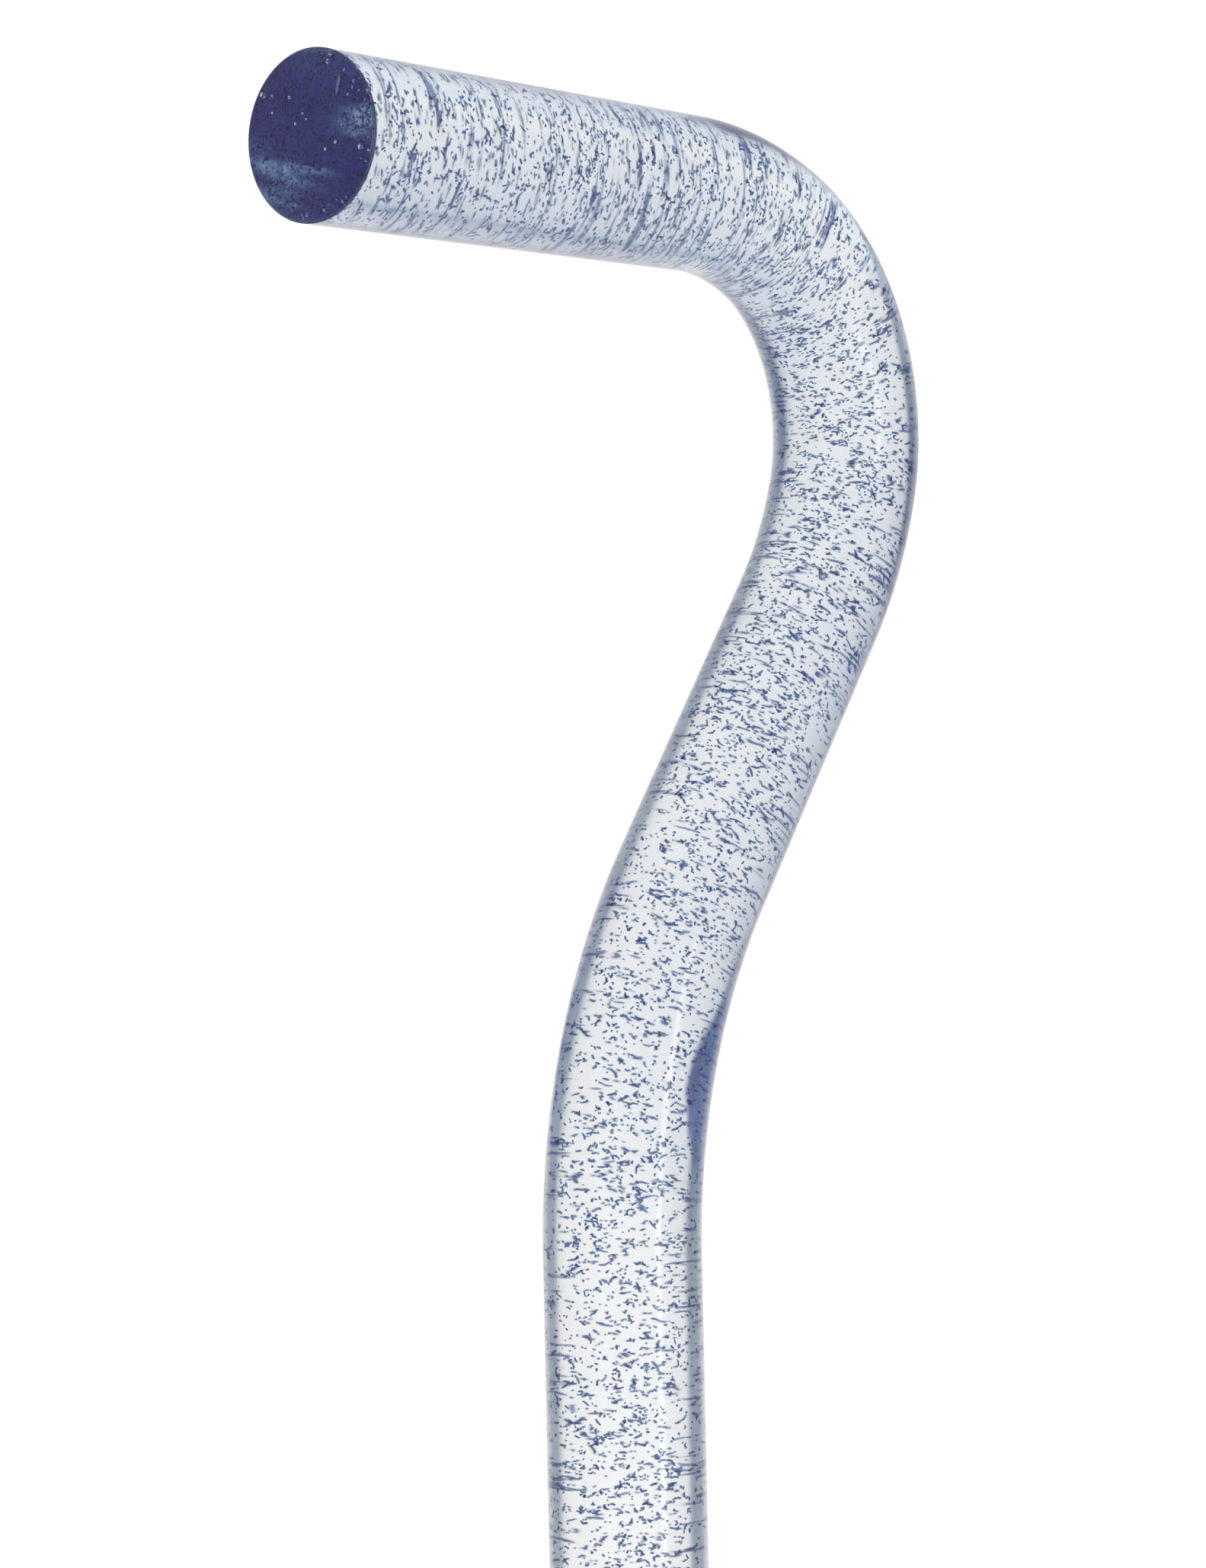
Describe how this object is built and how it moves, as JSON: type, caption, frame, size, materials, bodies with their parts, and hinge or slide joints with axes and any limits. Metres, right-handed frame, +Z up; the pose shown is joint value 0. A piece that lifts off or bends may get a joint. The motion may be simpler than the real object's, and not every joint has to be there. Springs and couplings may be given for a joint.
{
  "type": "walking cane",
  "caption": "Offset-handle walking cane bent from one clear acrylic rod with blue flecks, standing on a push-on rubber ferrule.",
  "frame": {"origin": "centre of the ferrule's underside, on the shaft's axis, where the cane meets the floor", "axes": "+Z up along the straight shaft; the bends lie in the plane y = 0; the handle's free end points to -X and the neck leans to +X"},
  "size_m": [0.1294, 0.0382, 0.9141],
  "materials": {
    "acrylic": "polished, clear with blue flecks cast in",
    "rubber": "moulded, matte",
    "washer_steel": "zinc plated"
  },
  "bodies": {
    "shaft": {"acrylic_rod": "acrylic"},
    "tip": {"rubber_tip": "rubber", "tip_washer": "washer_steel"}
  },
  "joints": [
    {"name": "tip_pull", "type": "slide", "parent": "shaft", "child": "tip", "axis": [0, 0, -1], "range_m": [0, 0.045]}
  ]
}
